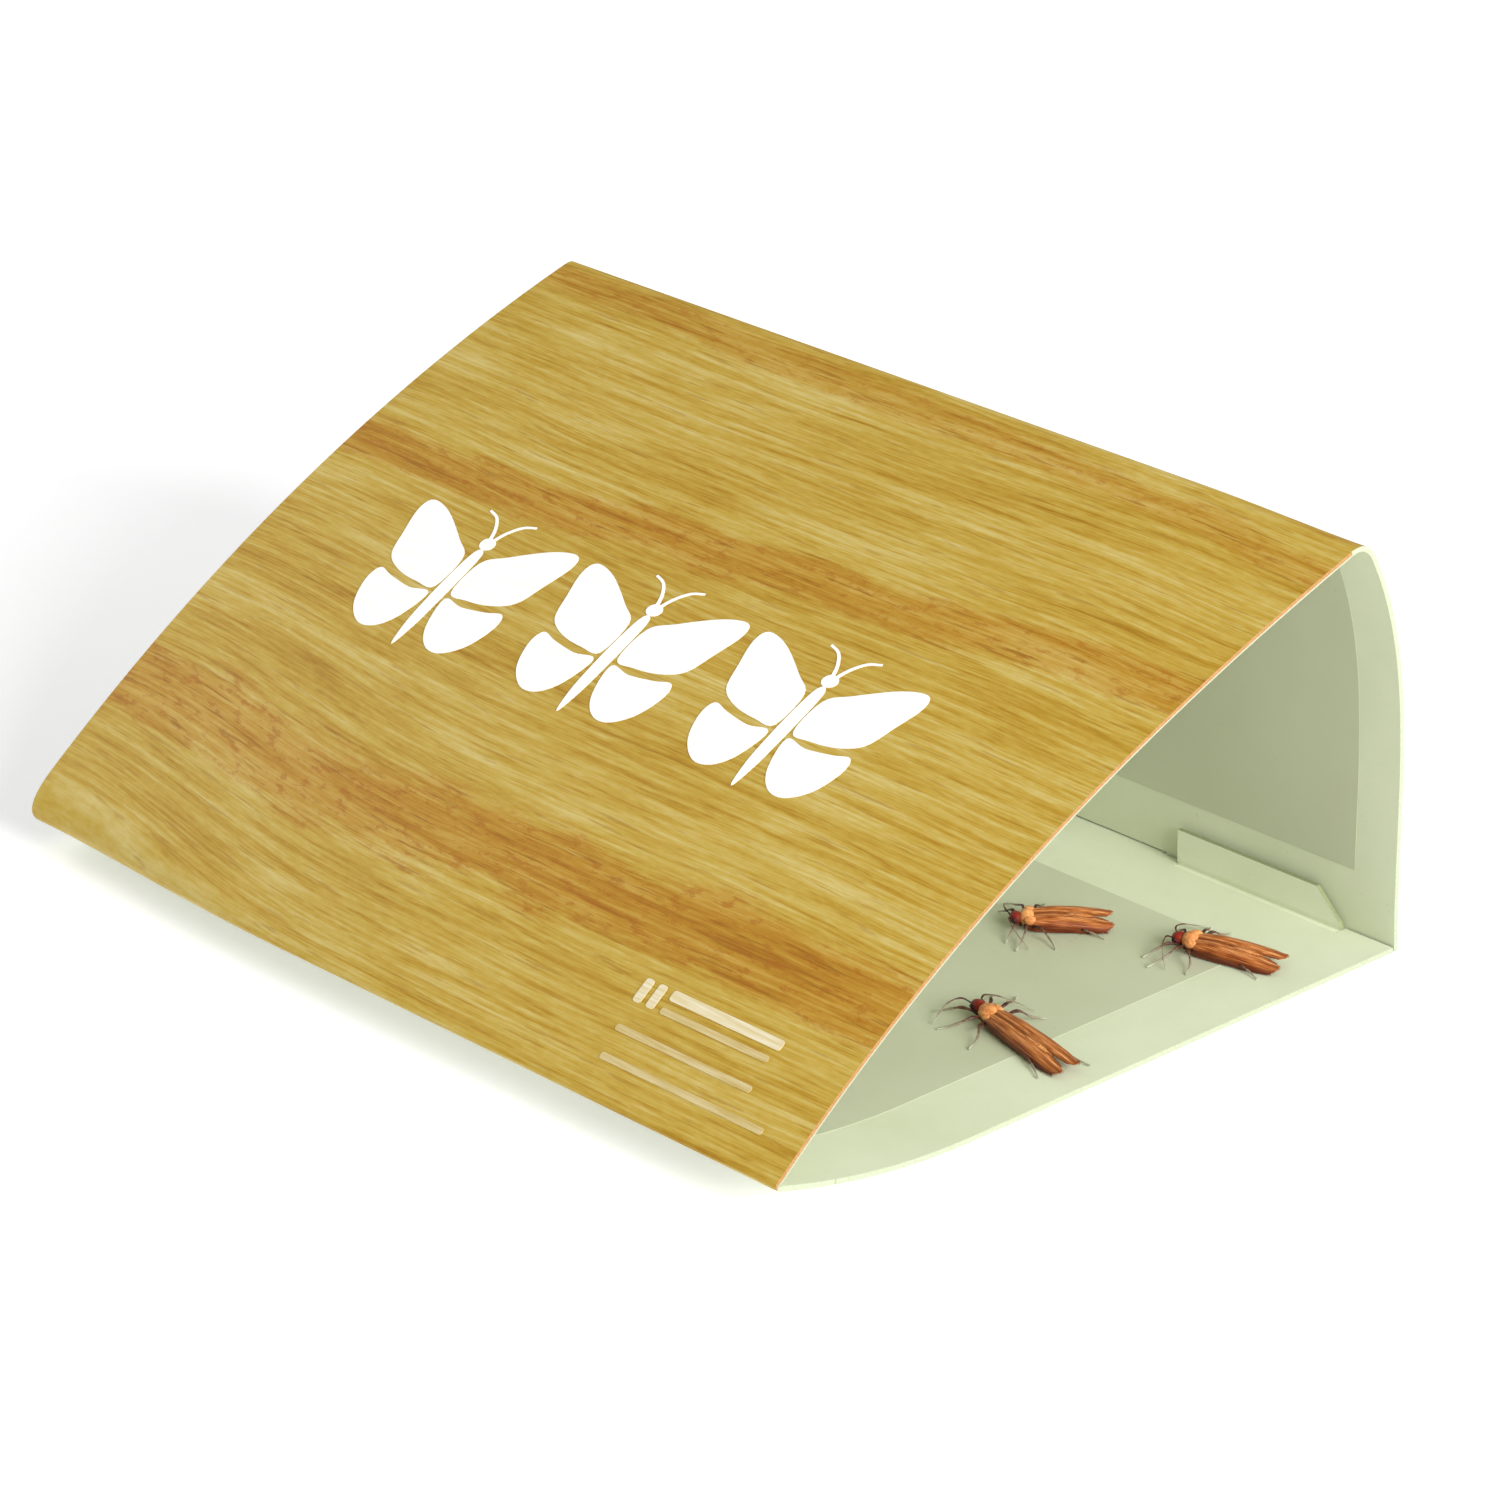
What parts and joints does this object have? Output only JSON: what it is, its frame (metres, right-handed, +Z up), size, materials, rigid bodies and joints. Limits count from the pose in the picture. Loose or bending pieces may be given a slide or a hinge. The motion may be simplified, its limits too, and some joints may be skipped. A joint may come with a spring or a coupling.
{
  "type": "pheromone insect trap",
  "caption": "Folded card moth trap: a flat floor, long sloping front and short back make an open tunnel lined with sticky sheets, closed by a tongue at the rear.",
  "frame": {"origin": "on the underside of the floor panel, at mid-length and midway between the front and rear folds; this point is on the rest face", "axes": "+X along the tunnel towards the near open end, +Y towards the short back panel, +Z up"},
  "size_m": [0.127, 0.1044, 0.051],
  "materials": {
    "printed_card": "coated card printed with a yellow-brown wood grain, satin",
    "pale_card": "uncoated pale green-white card, matte",
    "sticky_sheet": "thin clear tacky glue over card, slightly glossy grey-green",
    "lure_rubber": "soft matte red-brown rubber pad",
    "moth": "coppery brown scaled wings, soft sheen"
  },
  "bodies": {
    "floor": {"floor_panel": "pale_card", "floor_glue": "sticky_sheet", "locking_tongue": "pale_card", "pheromone_lure": "lure_rubber", "moth_rear": "moth", "moth_side": "moth", "moth_front": "moth"},
    "front": {"front_panel": "printed_card", "front_glue": "sticky_sheet"},
    "back": {"back_panel": "pale_card", "back_glue": "sticky_sheet"},
    "near_tab": {"near_shoulder_tab": "pale_card"},
    "far_tab": {"far_shoulder_tab": "pale_card"}
  },
  "joints": [
    {"name": "front_fold", "type": "hinge", "parent": "floor", "child": "front", "pos_m": [0, -0.04739, 0.00464], "axis": [1, 0, 0], "range_deg": [0, 150]},
    {"name": "ridge_fold", "type": "hinge", "parent": "front", "child": "back", "pos_m": [0, 0.03988, 0.05094], "axis": [1, 0, 0], "range_deg": [0, 105]},
    {"name": "near_tab_fold", "type": "hinge", "parent": "floor", "child": "near_tab", "pos_m": [0, 0.0474, 0.0006], "axis": [1, 0, 0], "range_deg": [-90, 0]},
    {"name": "far_tab_fold", "type": "hinge", "parent": "floor", "child": "far_tab", "pos_m": [0, 0.0474, 0.0006], "axis": [1, 0, 0], "range_deg": [-90, 0]}
  ],
  "couplings": [
    {"joint": "near_tab_fold", "follows": "ridge_fold", "ratio": -0.85},
    {"joint": "far_tab_fold", "follows": "ridge_fold", "ratio": -0.85}
  ]
}
